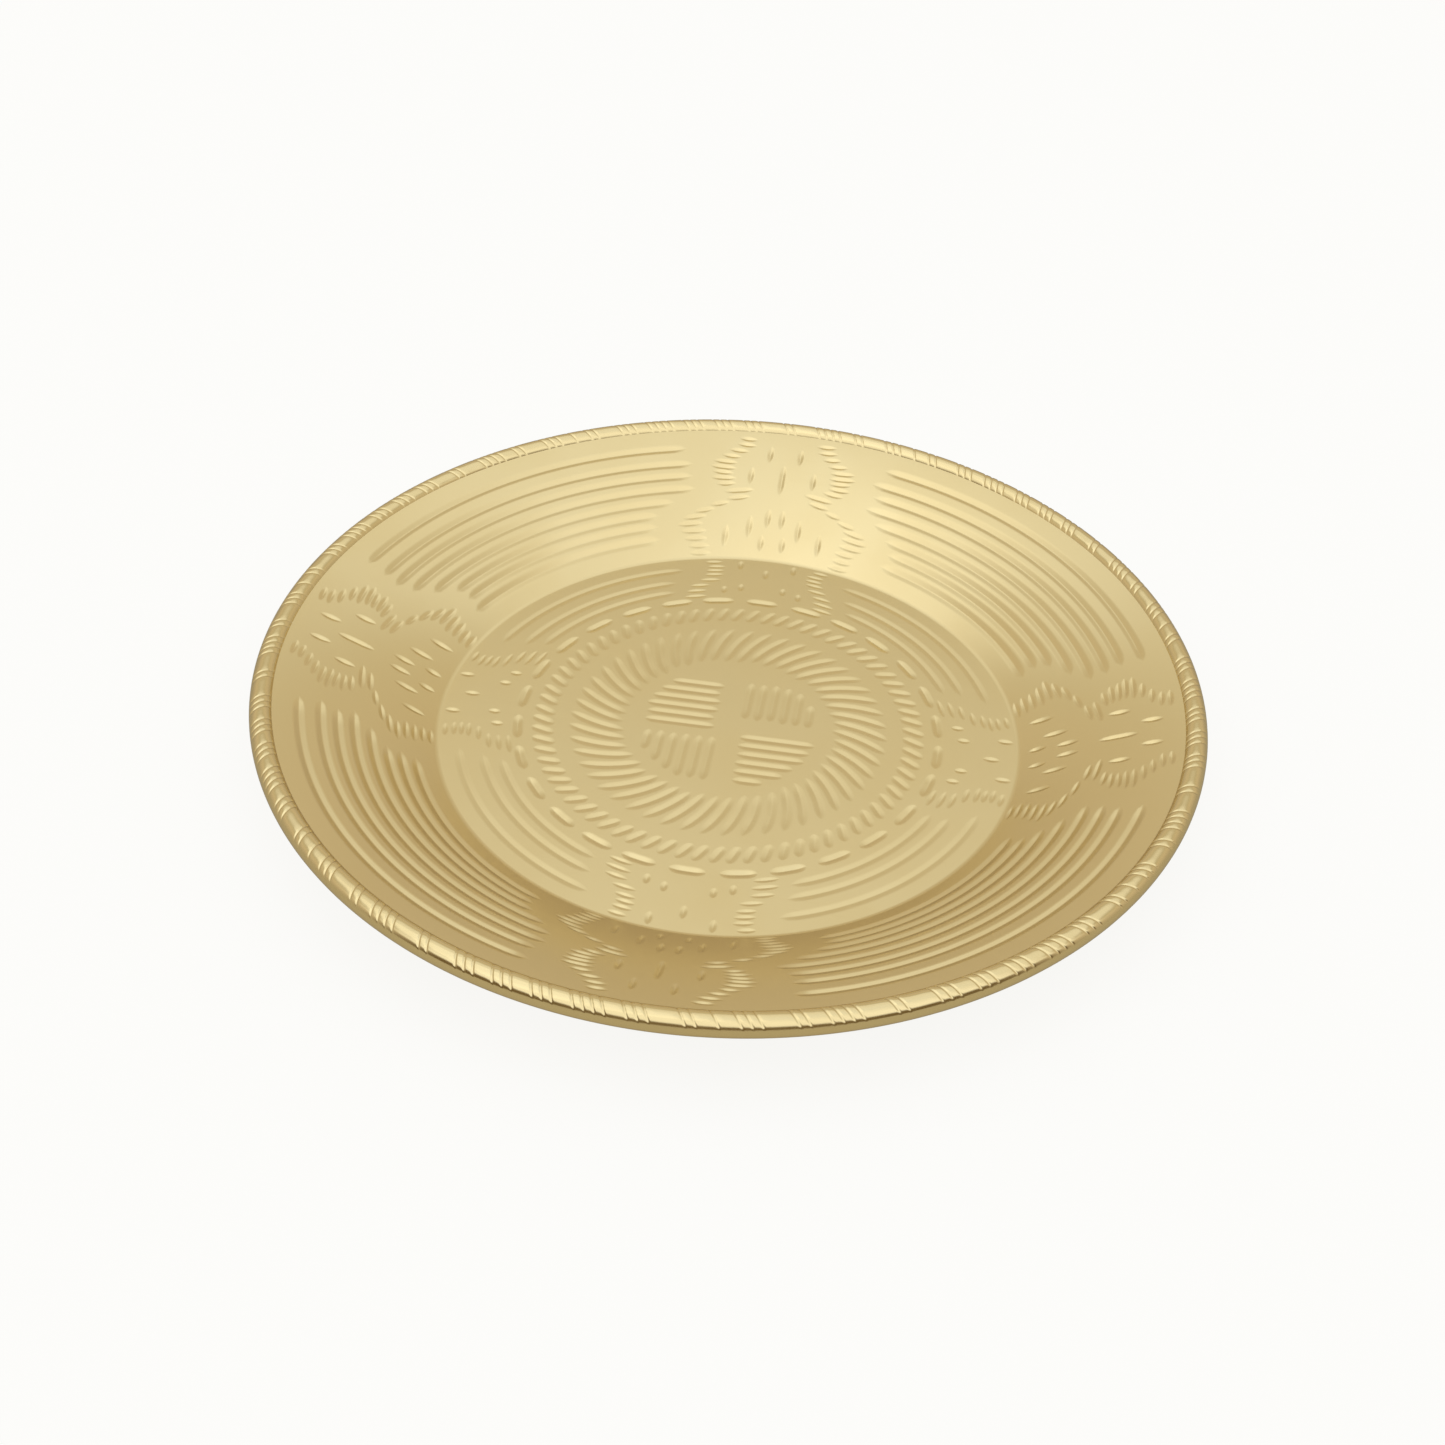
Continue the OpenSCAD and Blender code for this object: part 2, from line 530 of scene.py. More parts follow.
def outline_cuts(sizes, chasing, wobble):
    """The lines of short cross strokes that shape the four arms."""
    rise_at, rises = zip(*STROKE_RISE)
    cuts = []
    for turn in ARM_TURNS:
        for side in (-1, 1):
            for out, aside, length in ARM_OUTLINE:
                aside += stray(wobble, 2) * chasing.hand_shake
                length *= wobble.uniform(*STROKE_LENGTHS)
                reach = spread(-0.5, 0.5, STROKE_POINTS["stroke"])
                climb = np.interp(out, rise_at, rises) * reach
                line = arm_point(turn, out + climb, side * (aside + length * reach))
                depth = stroke_depth_at(out * PLATE_R, sizes, chasing)
                cuts.append(Cut(line, chasing.stroke_width, depth, RUN_OUT["stroke"]))
    return cuts


def arm_dash_cuts(sizes, chasing, wobble):
    """The strokes along the four arms, in pairs beside the arm's middle or single on it."""
    width = ARM_DASH_WIDER * chasing.stroke_width
    cuts = []
    for turn in ARM_TURNS:
        for inner, outer, aside in ARM_DASHES:
            for side in (-1, 1) if aside else (1,):
                shift = stray(wobble, 1) * chasing.hand_shake
                out = spread(inner, outer, STROKE_POINTS["stroke"])
                line = arm_point(turn, out, side * aside + shift)
                depth = ARM_DASH_DEEPER * stroke_depth_at(inner * PLATE_R, sizes, chasing)
                cuts.append(Cut(line, width, depth, RUN_OUT["stroke"]))
    return cuts


def ring_places(count, first, reach, wobble):
    """Angles of the strokes of a ring, in degrees, each off by at most reach."""
    for k in range(count):
        yield first + 360 / count * k + stray(wobble, reach)


def chain_cuts(chasing, wobble):
    """The ring of long dashes round the roped ring."""
    cuts = []
    for middle in ring_places(chasing.chain_dashes, CHAIN_FIRST, CHAIN_STRAY, wobble):
        angles = middle + spread(-CHAIN_REACH, CHAIN_REACH, STROKE_POINTS["chain"])
        line = polar(CHAIN_R * PLATE_R, angles)
        cuts.append(Cut(line, WIDTH["chain"], chasing.dash_depth, RUN_OUT["chain"]))
    return cuts


def rope_cuts(chasing, wobble):
    """The roped ring of short slanting strokes."""
    cuts = []
    for middle in ring_places(chasing.rope_strokes, ROPE_FIRST, RING_STRAY, wobble):
        r = spread(*ROPE_ENDS, STROKE_POINTS["rope"])
        line = polar(r * PLATE_R, middle - ROPE_LEAN * (r - ROPE_PIVOT))
        cuts.append(Cut(line, WIDTH["rope"], chasing.floor_stroke_depth, RUN_OUT["rope"]))
    return cuts


def swirl_cuts(chasing, wobble):
    """The swirl of long slanting strokes round the roundel."""
    inner, outer = SWIRL_ENDS
    cuts = []
    for middle in ring_places(chasing.swirl_strokes, SWIRL_FIRST, RING_STRAY, wobble):
        r = spread(inner + stray(wobble, END_STRAY), outer, STROKE_POINTS["swirl"])
        lean = SWIRL_LEAN * (r - SWIRL_PIVOT) + SWIRL_BEND * (r - SWIRL_PIVOT) ** 2
        line = polar(r * PLATE_R, middle - lean)
        cuts.append(Cut(line, WIDTH["swirl"], chasing.floor_stroke_depth, RUN_OUT["swirl"]))
    return cuts


def hatch_cuts(chasing, wobble):
    """Four blocks of straight lines about the centre, laid crosswise in turn and kept
    inside a circle."""
    cuts = []
    for turn, first, near, far in HATCH_BLOCKS:
        spin = np.array(Matrix.Rotation(math.radians(turn), 2).transposed())
        for k in range(HATCH_LINES):
            offset = first + HATCH_PITCH * k
            start = near + stray(wobble, END_STRAY)
            end = min(far, math.sqrt(HATCH_EDGE**2 - offset**2)) - wobble.uniform(0, HATCH_FALLS_SHORT)
            if end - start < HATCH_SHORTEST:
                continue
            along = spread(start, end, STROKE_POINTS["hatch"])
            line = np.stack([np.full_like(along, offset), along], axis=1) @ spin
            depth = chasing.floor_stroke_depth
            cuts.append(Cut(line * PLATE_R, WIDTH["hatch"], depth, RUN_OUT["hatch"]))
    return cuts


def all_cuts(sizes, chasing):
    """Every cut in the dish; the order of the list is the order of the random draws."""
    wobble = random.Random(chasing.seed)
    return (
        groove_cuts(FLANGE_GROOVES, chasing.groove_depth, chasing, wobble)
        + groove_cuts(FLOOR_GROOVES, chasing.floor_depth, chasing, wobble)
        + outline_cuts(sizes, chasing, wobble)
        + arm_dash_cuts(sizes, chasing, wobble)
        + chain_cuts(chasing, wobble)
        + rope_cuts(chasing, wobble)
        + swirl_cuts(chasing, wobble)
        + hatch_cuts(chasing, wobble)
    )


# ---------------------------------------------------------------------------
# Meshes
# ---------------------------------------------------------------------------


def new_piece(name, verts, faces, materials, slots=None):
    """A smooth mesh object of the plate that rides on its one body."""
    mesh = bpy.data.meshes.new(name)
    mesh.from_pydata([tuple(v) for v in verts], [], [tuple(f) for f in faces])
    mesh.polygons.foreach_set("use_smooth", [True] * len(mesh.polygons))
    for material in materials:
        mesh.materials.append(material)
    if slots is not None:
        mesh.polygons.foreach_set("material_index", slots)
    mesh.validate()
    mesh.update()
    if len(mesh.polygons) != len(faces):
        raise RuntimeError(f"{name} has faces that don't make a clean mesh")
    piece = bpy.data.objects.new(name, mesh)
    bpy.context.scene.collection.objects.link(piece)
    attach(piece, "root")
    return piece


def triangulate_plan(cuts, rings, circles):
    """Triangles in plan with edges along every row of every cut and along the circles, the
    last of which is the rim. The rings give the plain points: radius and how many."""
    points, edges = [], []

    def add_chain(chain, closed=False):
        first = len(points)
        points.extend(chain)
        last = len(points) - 1
        edges.extend((i, i + 1) for i in range(first, last))
        if closed:
            edges.append((last, first))

    for cut in cuts:
        rows = cut.rows()
        tips = rows[0][0], rows[0][-1]
        for row in rows:
            add_chain([tips[0], *row[1:-1], tips[1]])
    angles = np.linspace(0, 360, RIM_COUNT, endpoint=False)
    for circle_r in circles:
        add_chain(polar(circle_r, angles), closed=True)
    # Plain points between the cuts and circles, kept clear of them
    taken = set(map(tuple, np.round(np.array(points) / CUT_MARGIN).astype(int)))
    for r, count in rings:
        for p in polar(r, np.arange(count) * 360 / count + 180 / count):
            i, j = np.round(p / CUT_MARGIN).astype(int)
            if not any((i + di, j + dj) in taken for di in (-1, 0, 1) for dj in (-1, 0, 1)):
                points.append(p)
    # The triangulation is more exact in millimetres
    plan = [Vector((float(x) * 1000, float(y) * 1000)) for x, y in points]
    verts, _, faces, *_ = delaunay_2d_cdt(plan, edges, [], 0, 1e-5, False)
    return np.array([(v.x, v.y) for v in verts]) / 1000, np.array([list(f) for f in faces])


def depth_of(points, cuts):
    """Depth of the deepest cut at each point in plan."""
    depth = np.zeros(len(points))
    for cut in cuts:
        low, high = cut.box()
        inside = np.nonzero(((points >= low) & (points <= high)).all(1))[0]
        if len(inside):
            depth[inside] = np.maximum(depth[inside], cut.depth_at(points[inside]))
    return depth


def plain_rings(shape, top_r):
    """Radius and number of the plain points, over the floor and then the flange."""
    floor_count = int((shape.floor_r - FLOOR_MARGIN) / FLOOR_MESH)
    rings = [(FLOOR_MESH * k, max(6, 6 * k)) for k in range(1, floor_count)]
    flange = np.arange(shape.floor_r + CREASE_MARGIN, top_r - RIM_MARGIN, FLANGE_MESH)
    return rings + [(r, FLANGE_COUNT) for r in flange]


def under_rings(shape, bottom_r):
    """Radii of the underside's rings: the flat foot, its bend and the wall."""
    foot_r = shape.foot_r()
    rings = list(np.linspace(FOOT_INNER, foot_r - 1.5 * FOOT_BEND, FOOT_RINGS))
    rings += [foot_r + FOOT_BEND * k for k in (-1, 0, 1)]
    return rings + list(np.linspace(foot_r + 4 * FOOT_BEND, bottom_r, WALL_RINGS))


def make_dish(sizes, chasing, materials):
    """The pressed sheet with its cuts, closed by its underside and its hidden edge."""
    shape = SheetShape(sizes)
    cuts = all_cuts(sizes, chasing)
    top_r, bottom_r = shape.meets_bead(WIRE_R)
    circles = [shape.floor_r + shape.crease * k for k in CREASE_LINES] + [top_r]
    plan, tris = triangulate_plan(cuts, plain_rings(shape, top_r), circles)
    r = np.linalg.norm(plan, axis=1)
    z, grad = shape.top(r)
    top = np.column_stack([plan, z - depth_of(plan, cuts)])
    # Every triangle faces up
    side = np.cross(top[tris[:, 1]] - top[tris[:, 0]], top[tris[:, 2]] - top[tris[:, 0]])
    tris[side[:, 2] < 0] = tris[side[:, 2] < 0][:, ::-1]
    cut_face = depth_of(plan[tris].mean(1), cuts) > TOUCH

    # The underside's points: its middle, then ring by ring outwards
    rings = under_rings(shape, bottom_r)
    angles = np.linspace(0, 360, RIM_COUNT, endpoint=False)
    under = [np.zeros((1, 3))]
    for ring_r in rings:
        height, _ = shape.bottom(np.full(RIM_COUNT, ring_r))
        under.append(np.column_stack([polar(ring_r, angles), height]))
    verts = np.concatenate([top, *under])
    middle = len(top)
    first = middle + 1
    last = first + (len(rings) - 1) * RIM_COUNT
    # The rim of the upper face, in the order of its angle
    rim = np.nonzero(r > top_r - TOUCH)[0]
    rim = rim[np.argsort(np.arctan2(plan[rim, 1], plan[rim, 0]) % math.tau)]

    faces = [tuple(t) for t in tris]
    for i in range(RIM_COUNT):
        j = (i + 1) % RIM_COUNT
        faces.append((middle, first + j, first + i))
        for a in range(first, last, RIM_COUNT):
            faces.append((a + i, a + j, a + RIM_COUNT + j, a + RIM_COUNT + i))
    for i in range(RIM_COUNT):
        j = (i + 1) % RIM_COUNT
        faces.append((last + i, last + j, rim[j], rim[i]))
    slots = np.zeros(len(faces), int)
    slots[: len(tris)] = cut_face
    piece = new_piece("dish_sheet", verts, faces, materials, slots)
    set_dish_normals(piece, plan, grad, cuts, cut_face)
    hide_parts("dish")
    return piece


def set_dish_normals(piece, plan, grad, cuts, cut_face):
    """Plain faces take the normals of the sheet, cut faces those of the chased surface."""
    mesh = piece.data
    r = np.maximum(np.linalg.norm(plan, axis=1), EPSILON)
    sheet = np.column_stack([-plan[:, 0] / r * grad, -plan[:, 1] / r * grad, np.ones(len(plan))])
    chased = sheet.copy()
    # A cut's slope is taken over this distance to either side of a point
    step = 0.00002
    for axis in (0, 1):
        shift = np.zeros(2)
        shift[axis] = step
        chased[:, axis] += (depth_of(plan + shift, cuts) - depth_of(plan - shift, cuts)) / (2 * step)
    corner_vert = np.zeros(len(mesh.loops), int)
    mesh.loops.foreach_get("vertex_index", corner_vert)
    # The triangles of the upper face come first
    corner_vert = corner_vert[: 3 * len(cut_face)]
    in_cut = np.repeat(cut_face, 3)[:, None]
    true = np.where(in_cut, chased[corner_vert], sheet[corner_vert])
    true /= np.linalg.norm(true, axis=1)[:, None]
    normals = np.array([n.vector for n in mesh.corner_normals])
    normals[: len(true)] = true
    mesh.normals_split_custom_set([tuple(n) for n in normals])


def notch_angles():
    """Angles of the notches round the bead, in degrees, spread to close the ring."""
    lands = np.array([LAND_ANGLE[land] for land in BEAD_LANDS * BEAD_REPEATS])
    lands *= 360 / lands.sum()
    return list(FIRST_NOTCH + np.cumsum(lands) - lands[0])


def bead_section(shape, sink, lean):
    """Outline of the bead's section, open along the slot that holds the sheet: radius,
    height and the degrees that a leaning notch runs on by. sink is its depth."""
    top_out, bottom_out = shape.meets_bead(BEAD_R)
    top_in, bottom_in = shape.meets_bead(WIRE_R)

    def angle_at(r, inset):
        z, _ = shape.arc(np.float64(r), inset)
        return math.atan2(float(z) - shape.bead_z, r - shape.bead_x) % math.tau

    points = []
    # Over the outside, from the flange's upper face round to its underside
    start, end = angle_at(top_out, 0.0), angle_at(bottom_out, SHEET_T) - math.tau
    for a in np.linspace(start, end, BEAD_POINTS):
        pressed = 0.0
        if a > 0:
            pressed = min(1.0, max(0.0, (math.sin(a) - NOTCH_STARTS) / NOTCH_GROWS))
        radius = BEAD_R - sink * pressed
        # The lean fades out again below the bead's widest line
        fade = 1 if a > 0 else max(0.0, 1 + a)
        run = lean * (NOTCH_PIVOT - max(a, 0.0)) * fade
        points.append((shape.bead_x + radius * math.cos(a), shape.bead_z + radius * math.sin(a), run))
    # Back through the bore
    start, end = angle_at(bottom_in, SHEET_T) - math.tau, angle_at(top_in, 0.0)
    for a in np.linspace(start, end, BORE_POINTS):
        points.append((shape.bead_x + WIRE_R * math.cos(a), shape.bead_z + WIRE_R * math.sin(a), 0.0))
    return points


def make_rim_bead(sizes, materials):
    """The rolled bead round the edge, with its cross notches."""
    shape = SheetShape(sizes)
    half = math.degrees(sizes.notch_width / 2 / PLATE_R)
    # Stations round the ring: angle, and share of a notch's depth
    stations = []
    notches = notch_angles()
    for here, after in zip(notches, notches[1:] + [notches[0] + 360]):
        stations += [(here + reach * half, sunk) for reach, sunk in NOTCH_SECTION]
        fill = max(1, round((after - here) / LAND_STEP))
        land = np.linspace(here + half, after - half, fill + 2)[1:-1]
        stations += [(float(a), 0.0) for a in land]
    depths = {sunk for _, sunk in NOTCH_SECTION}
    sections = {d: bead_section(shape, d * sizes.notch_depth, sizes.notch_lean) for d in depths}
    verts, faces = [], []
    for degrees, sunk in stations:
        for x, z, run in sections[sunk]:
            turn = math.radians(degrees + run)
            verts.append((x * math.cos(turn), x * math.sin(turn), z))
    size, count = BEAD_POINTS + BORE_POINTS, len(stations)
    for i in range(count):
        j = (i + 1) % count
        for k in range(size):
            n = (k + 1) % size
            faces.append((i * size + k, i * size + n, j * size + n, j * size + k))
    piece = new_piece("rim_bead_strip", verts, faces, materials)
    piece.data.set_sharp_from_angle(angle=SHARP_TURN)
    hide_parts("rim_bead")
    return piece


def make_rim_wire(sizes, materials):
    """The core wire: a ring with a hairline gap between its two square ends."""
    shape = SheetShape(sizes)
    gap = sizes.wire_gap / shape.bead_x
    verts, faces = [], []
    for turn in np.linspace(math.pi + gap / 2, math.pi + math.tau - gap / 2, WIRE_AROUND):
        for a in np.linspace(0, math.tau, WIRE_ACROSS, endpoint=False):
            x = shape.bead_x + WIRE_R * math.cos(a)
            verts.append((x * math.cos(turn), x * math.sin(turn), shape.bead_z + WIRE_R * math.sin(a)))
    for i in range(WIRE_AROUND - 1):
        for k in range(WIRE_ACROSS):
            n = (k + 1) % WIRE_ACROSS
            a, b = i * WIRE_ACROSS, (i + 1) * WIRE_ACROSS
            faces.append((a + k, b + k, b + n, a + n))
    faces.append(tuple(range(WIRE_ACROSS)))
    faces.append(tuple((WIRE_AROUND - 1) * WIRE_ACROSS + k for k in reversed(range(WIRE_ACROSS))))
    piece = new_piece("rim_core_wire", verts, faces, materials)
    piece.data.set_sharp_from_angle(angle=SHARP_TURN)
    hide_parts("rim_wire")
    return piece


# ---------------------------------------------------------------------------
# Materials
# ---------------------------------------------------------------------------

# Sockets of a colour mix, whose names repeat: its share, both colours, its result
MIX_SHARE, MIX_FROM, MIX_TO, MIX_RESULT = 0, 6, 7, 2

# Sizes of the satin tooth and of the duller patches, the noise values between
# which a patch fades in, and the share that it has of the deeper colour
GRAIN_SIZE = 0.00012
PATCH_SIZE = 0.02
PATCH_EDGE = (0.35, 0.7)
PATCH_TONE = 0.35
# Hairlines: turn of the direction in radians and how close they lie, stretch,
# and the noise values between which a line fades in
HAIRLINES = ((0.5, 900), (2.1, 700))
HAIRLINE_STRETCH = (0.035, 1, 1)
HAIRLINE_EDGE = (0.66, 0.74)
HAIRLINE_ROUGHNESS = 0.08
HAIRLINE_BUMP = 0.6
BUMP_STRENGTH = 0.25
BUMP_DISTANCE = 0.00001
# The wire's patches have this share of the plain brass's colour
WIRE_DULL = 0.6
WIRE_ROUGHNESS = 0.38


def feed(tree, value, socket):
    """Puts a number, or what another socket gives, into a socket."""
    if isinstance(value, bpy.types.NodeSocket):
        tree.links.new(value, socket)
    else:
        socket.default_value = value


def node(tree, kind, **settings):
    """A new node of a kind, with its settings."""
    made = tree.nodes.new(kind)
    for name, value in settings.items():
        setattr(made, name, value)
    return made


def math_node(tree, operation, a, b):
    """A maths node whose inputs are numbers or sockets."""
    made = node(tree, "ShaderNodeMath", operation=operation)
    feed(tree, a, made.inputs[0])
    feed(tree, b, made.inputs[1])
    return made.outputs[0]


def colour_mix(tree, share, first, second):
    """Goes from the first colour to the second by a share; each may be a socket."""
    made = node(tree, "ShaderNodeMix", data_type="RGBA")
    feed(tree, share, made.inputs[MIX_SHARE])
    feed(tree, first, made.inputs[MIX_FROM])
    feed(tree, second, made.inputs[MIX_TO])
    return made.outputs[MIX_RESULT]


def ramp(tree, source, low, high):
    """Maps source from the range low..high on to 0..1, smoothly."""
    made = node(tree, "ShaderNodeMapRange", interpolation_type="SMOOTHSTEP")
    feed(tree, low, made.inputs["From Min"])
    feed(tree, high, made.inputs["From Max"])
    feed(tree, source, made.inputs["Value"])
    return made.outputs["Result"]


def noise(tree, place, scale, detail, roughness=0.5):
    """Noise over the object's own space."""
    made = node(tree, "ShaderNodeTexNoise")
    feed(tree, place, made.inputs["Vector"])
    feed(tree, scale, made.inputs["Scale"])
    feed(tree, detail, made.inputs["Detail"])
    feed(tree, roughness, made.inputs["Roughness"])
    return made.outputs["Fac"]


def new_group(name, inputs, outputs):
    """An empty shader node group with named sockets."""
    group = bpy.data.node_groups.new(name, "ShaderNodeTree")
    for label, value in inputs:
        socket = group.interface.new_socket(label, in_out="INPUT", socket_type="NodeSocketFloat")
        socket.default_value = value
    for label in outputs:
        group.interface.new_socket(label, in_out="OUTPUT", socket_type="NodeSocketFloat")
    return group, group.nodes.new("NodeGroupInput"), group.nodes.new("NodeGroupOutput")


def satin_grain_group():
    """Fine tooth of a satin gilt surface: a height for bump and a mask of duller patches."""
    group, given, out = new_group(
        "satin_grain", [("Grain Size", GRAIN_SIZE), ("Patch Size", PATCH_SIZE)], ["Height", "Dull"])
    place = node(group, "ShaderNodeTexCoord").outputs["Object"]
    grain_scale = math_node(group, "DIVIDE", 1.0, given.outputs["Grain Size"])
    patch_scale = math_node(group, "DIVIDE", 1.0, given.outputs["Patch Size"])
    feed(group, noise(group, place, grain_scale, 3), out.inputs["Height"])
    broad = noise(group, place, patch_scale, 4)
    feed(group, ramp(group, broad, *PATCH_EDGE), out.inputs["Dull"])
    return group


def hairlines_group():
    """Hairline scratches from handling and wiping, in two crossing directions."""
    group, given, out = new_group("hairlines", [("Amount", 1.0)], ["Height", "Mask"])
    place = node(group, "ShaderNodeTexCoord").outputs["Object"]
    masks = []
    for turn, closeness in HAIRLINES:
        spun = node(group, "ShaderNodeMapping")
        spun.inputs["Rotation"].default_value[2] = turn
        spun.inputs["Scale"].default_value = HAIRLINE_STRETCH
        feed(group, place, spun.inputs["Vector"])
        lines = noise(group, spun.outputs["Vector"], closeness, 2, 0.55)
        masks.append(ramp(group, lines, *HAIRLINE_EDGE))
    worn = math_node(group, "MULTIPLY", math_node(group, "MAXIMUM", *masks), given.outputs["Amount"])
    feed(group, worn, out.inputs["Mask"])
    feed(group, math_node(group, "MULTIPLY", worn, -1.0), out.inputs["Height"])
    return group


def effect_groups():
    """The shared effects, made once."""
    found = bpy.data.node_groups
    return {
        "satin": found.get("satin_grain") or satin_grain_group(),
        "hairlines": found.get("hairlines") or hairlines_group(),
    }


def new_material(name, metallic, roughness):
    """A material with its shader, and the tree that they stand in."""
    material = bpy.data.materials.new(name)
    material.use_nodes = True
    shader = material.node_tree.nodes["Principled BSDF"]
    shader.inputs["Metallic"].default_value = metallic
    shader.inputs["Roughness"].default_value = roughness
    return material, material.node_tree, shader


def worn_metal(name, colours, finish, roughness, dull, tooth, scratches):
    """Metal in two tones by patches, with a satin tooth and hairlines. dull is how much
    rougher a patch is, tooth and scratches the strength of those effects."""
    material, tree, shader = new_material(name, 1.0, roughness)
    groups = effect_groups()
    satin = node(tree, "ShaderNodeGroup", node_tree=groups["satin"])
    satin.inputs["Grain Size"].default_value = GRAIN_SIZE
    lines = node(tree, "ShaderNodeGroup", node_tree=groups["hairlines"])
    lines.inputs["Amount"].default_value = scratches
    patch = math_node(tree, "MULTIPLY", satin.outputs["Dull"], PATCH_TONE)
    plain, deep = [(*colour, 1) for colour in colours]
    feed(tree, colour_mix(tree, patch, plain, deep), shader.inputs["Base Color"])
    shader.inputs["Specular Tint"].default_value = (*finish.rim_tint, 1)
    rough = math_node(tree, "MULTIPLY", satin.outputs["Dull"], dull)
    rough = math_node(tree, "ADD", rough, roughness)
    scored = math_node(tree, "MULTIPLY", lines.outputs["Mask"], HAIRLINE_ROUGHNESS)
    feed(tree, math_node(tree, "ADD", rough, scored), shader.inputs["Roughness"])
    grain = math_node(tree, "MULTIPLY", satin.outputs["Height"], tooth)
    scored = math_node(tree, "MULTIPLY", lines.outputs["Height"], HAIRLINE_BUMP)
    bump = node(tree, "ShaderNodeBump")
    bump.inputs["Strength"].default_value = BUMP_STRENGTH
    bump.inputs["Distance"].default_value = BUMP_DISTANCE
    feed(tree, math_node(tree, "ADD", grain, scored), bump.inputs["Height"])
    feed(tree, bump.outputs["Normal"], shader.inputs["Normal"])
    return material


def gilding(name, finish, roughness, **wear):
    """Worn metal in the two tones of the gilding."""
    return worn_metal(name, (finish.gilt, finish.gilt_deep), finish, roughness, **wear)


def sheet_gilt(finish):
    """Satin gilding of the sheet's plain face."""
    return gilding("gilt_sheet", finish, finish.satin, dull=0.05, tooth=1.0, scratches=0.5)


def cut_gilt(finish):
    """Slightly smoother gilding in the cuts, where handling scratches it less."""
    return gilding("gilt_cut", finish, finish.cut, dull=0.04, tooth=0.6, scratches=0.2)


def bead_gilt(finish):
    """Burnished gilding of the bead."""
    return gilding("gilt_bead", finish, finish.burnish, dull=0.06, tooth=0.5, scratches=0.6)


def wire_brass(finish):
    """Drawn brass of the core wire, never gilded."""
    colours = (finish.brass, [WIRE_DULL * c for c in finish.brass])
    return worn_metal("bare_wire", colours, finish, WIRE_ROUGHNESS, dull=0.12, tooth=1.0, scratches=0.5)


# ---------------------------------------------------------------------------
# Stage
# ---------------------------------------------------------------------------

# Light from the room by the height of its direction: sine of the height, colour
ROOM_LIGHT = (
    (0.00, (0.47, 0.41, 0.31)),
    (0.20, (0.54, 0.46, 0.35)),
    (0.40, (0.62, 0.535, 0.405)),
    (0.50, (0.61, 0.525, 0.39)),
    (0.60, (0.53, 0.475, 0.36)),
    (0.70, (0.75, 0.715, 0.64)),
    (0.73, (0.85, 0.83, 0.78)),
    (0.80, (0.85, 0.82, 0.74)),
    (1.00, (0.90, 0.90, 0.88)),
)
# A dark flag stands on the camera's side and a bright panel hangs over it. Their
# soft edges: how far a direction turns to that side, and the sine of its height
FLAG = (0.16, 0.11, 0.05, 1)
FLAG_SIDE = (0.15, 0.55)
PANEL = (1.05, 1.03, 0.98, 1)
PANEL_SIDE = (-0.1, 0.4)
PANEL_HEIGHT = (0.34, 0.54)

SOFTBOX_PLACE = (-0.4, -0.1, 1.0)
SOFTBOX_SIZE = (1.0, 0.8)
SOFTBOX_POWER = 0.45
TABLE_REACH = 4.0
TABLE_ROUGHNESS = 0.9
# The table lies a hair below the plate
TABLE_DROP = 0.00005
SENSOR = 36
CLIP = (0.01, 20)


def make_world(stage):
    """Soft light that is brightest overhead; the camera sees a plain backdrop instead."""
    world = bpy.data.worlds.new("studio_light")
    bpy.context.scene.world = world
    world.use_nodes = True
    tree = world.node_tree
    tree.nodes.clear()
    way = node(tree, "ShaderNodeSeparateXYZ")
    direction = node(tree, "ShaderNodeTexCoord").outputs["Generated"]
    feed(tree, direction, way.inputs[0])
    room = node(tree, "ShaderNodeValToRGB")
    stops = room.color_ramp.elements
    while len(stops) < len(ROOM_LIGHT):
        stops.new(0.5)
    for stop, (height, colour) in zip(stops, ROOM_LIGHT):
        stop.position = height
        stop.color = (*colour, 1)
    feed(tree, way.outputs["Z"], room.inputs[0])
    toward = node(tree, "ShaderNodeVectorMath", operation="DOT_PRODUCT")
    toward.inputs[1].default_value = (math.sin(stage.azimuth), -math.cos(stage.azimuth), 0)
    feed(tree, direction, toward.inputs[0])
    side = toward.outputs["Value"]
    flagged = colour_mix(tree, ramp(tree, side, *FLAG_SIDE), room.outputs[0], FLAG)
    near_side = ramp(tree, side, *PANEL_SIDE)
    high = ramp(tree, way.outputs["Z"], *PANEL_HEIGHT)
    sky = colour_mix(tree, math_node(tree, "MULTIPLY", near_side, high), flagged, PANEL)
    light = node(tree, "ShaderNodeBackground")
    feed(tree, sky, light.inputs["Color"])
    backdrop = node(tree, "ShaderNodeBackground")
    backdrop.inputs["Color"].default_value = (*stage.backdrop, 1)
    seen = node(tree, "ShaderNodeMixShader")
    feed(tree, node(tree, "ShaderNodeLightPath").outputs["Is Camera Ray"], seen.inputs[0])
    feed(tree, light.outputs[0], seen.inputs[1])
    feed(tree, backdrop.outputs[0], seen.inputs[2])
    feed(tree, seen.outputs[0], node(tree, "ShaderNodeOutputWorld").inputs[0])


